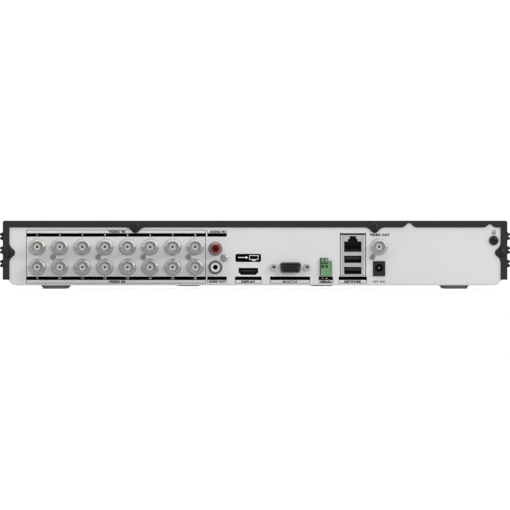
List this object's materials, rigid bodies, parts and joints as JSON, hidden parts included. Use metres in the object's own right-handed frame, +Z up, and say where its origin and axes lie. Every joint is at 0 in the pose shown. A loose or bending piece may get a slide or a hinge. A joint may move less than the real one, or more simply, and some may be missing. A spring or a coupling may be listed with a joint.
{
  "type": "dvr recorder",
  "caption": "Low flat video recorder: folded steel case with louvered sides, a panel of camera and network sockets at the back, and a black bezel with keys at the front.",
  "frame": {"origin": "centre of the footprint, on the surface it stands on", "axes": "+Z up; the front bezel faces -Y and the socket panel faces +Y; +X is to the right seen from the front"},
  "size_m": [0.385, 0.3042, 0.0513],
  "materials": {
    "light_paint": "smooth light grey powder coat",
    "dark_paint": "fine textured dark grey powder coat",
    "black_steel": "black oxide, slightly glossy",
    "nickel": "nickel plated",
    "steel": "zinc plated",
    "black_nickel": "black nickel plated",
    "tinted_nickel": "nickel plated, under a red lacquer",
    "dark_steel": "black zinc, partly worn",
    "grey_plastic": "moulded",
    "warm_steel": "tin plated sheet",
    "brass": "plain",
    "alloy": "satin",
    "disc": "polished",
    "bezel_black": "fine texture",
    "smoked": "polished, lets infrared through",
    "key_grey": "satin",
    "black_plastic": "moulded",
    "insulator": "off-white",
    "red_plastic": "moulded",
    "white_plastic": "moulded",
    "green_plastic": "moulded",
    "lever_green": "moulded",
    "board_green": "solder mask",
    "board_blue": "solder mask",
    "led": "diffused lens",
    "cable_red": "cable sheath",
    "cable_grey": "flat cable",
    "rubber": "matte"
  },
  "bodies": {
    "case": {"chassis_tray": "light_paint", "top_cover": "dark_paint", "cover_screws": "black_steel", "foot_pads": "rubber", "front_bezel": "bezel_black", "bezel_window": "smoked", "ground_screw": "black_steel", "key_board": "board_green", "tact_switches": "black_plastic", "status_leds": "led", "ir_receiver": "smoked", "front_usb": "nickel", "ribbon_cable": "cable_grey", "bnc_housing_1": "black_plastic", "bnc_housing_2": "black_plastic", "bnc_housing_3": "black_plastic", "bnc_housing_4": "black_plastic", "bnc_shells_1": "nickel", "bnc_shells_2": "nickel", "bnc_shells_3": "nickel", "bnc_shells_4": "nickel", "bnc_insulators": "insulator", "bnc_contacts": "dark_steel", "connector_screws": "dark_steel", "video_out_housing": "black_plastic", "video_out_shell": "nickel", "rca_housing": "black_plastic", "audio_in_shell": "tinted_nickel", "audio_out_shell": "black_nickel", "audio_in_insulator": "red_plastic", "audio_out_insulator": "white_plastic", "audio_screw": "steel", "display_shell": "nickel", "display_tongue": "black_plastic", "monitor_shell": "black_nickel", "monitor_insulator": "grey_plastic", "jackscrews": "nickel", "terminal_housing": "green_plastic", "lan_usb_cage": "warm_steel", "lan_usb_inserts": "black_plastic", "dc_jack_housing": "black_plastic", "dc_jack_pin": "nickel", "main_board": "board_green", "board_components": "black_plastic", "heat_sink": "alloy", "inner_screws": "steel", "hdd_base": "alloy", "hdd_cover": "steel", "hdd_board": "board_blue", "sata_cables": "cable_red"},
    "power_button": {"power_button": "key_grey"},
    "up_key": {"up_key": "key_grey"},
    "down_key": {"down_key": "key_grey"},
    "left_key": {"left_key": "key_grey"},
    "right_key": {"right_key": "key_grey"},
    "enter_key": {"enter_key": "key_grey"},
    "terminal_lever_1": {"terminal_lever_1": "lever_green"},
    "terminal_lever_2": {"terminal_lever_2": "lever_green"},
    "hdd_platters": {"hdd_platters": "disc"},
    "hdd_arm": {"hdd_arm": "alloy"}
  },
  "joints": [
    {"name": "power_press", "type": "slide", "parent": "case", "child": "power_button", "axis": [0, 1, 0], "range_m": [0, 0.0006], "stiffness_N_per_m": 1500},
    {"name": "up_press", "type": "slide", "parent": "case", "child": "up_key", "axis": [0, 1, 0], "range_m": [0, 0.0006], "stiffness_N_per_m": 1500},
    {"name": "down_press", "type": "slide", "parent": "case", "child": "down_key", "axis": [0, 1, 0], "range_m": [0, 0.0006], "stiffness_N_per_m": 1500},
    {"name": "left_press", "type": "slide", "parent": "case", "child": "left_key", "axis": [0, 1, 0], "range_m": [0, 0.0006], "stiffness_N_per_m": 1500},
    {"name": "right_press", "type": "slide", "parent": "case", "child": "right_key", "axis": [0, 1, 0], "range_m": [0, 0.0006], "stiffness_N_per_m": 1500},
    {"name": "enter_press", "type": "slide", "parent": "case", "child": "enter_key", "axis": [0, 1, 0], "range_m": [0, 0.0006], "stiffness_N_per_m": 1500},
    {"name": "terminal_release_1", "type": "slide", "parent": "case", "child": "terminal_lever_1", "axis": [0, 0, -1], "range_m": [0, 0.001], "stiffness_N_per_m": 1500},
    {"name": "terminal_release_2", "type": "slide", "parent": "case", "child": "terminal_lever_2", "axis": [0, 0, -1], "range_m": [0, 0.001], "stiffness_N_per_m": 1500},
    {"name": "disc_spin", "type": "hinge", "parent": "case", "child": "hdd_platters", "pos_m": [0.102, -0.0712, 0.022], "axis": [0, 0, 1], "continuous": true},
    {"name": "head_arm_swing", "type": "hinge", "parent": "case", "child": "hdd_arm", "pos_m": [0.041, -0.095, 0.022], "axis": [0, 0, 1], "range_deg": [0, 30]}
  ]
}
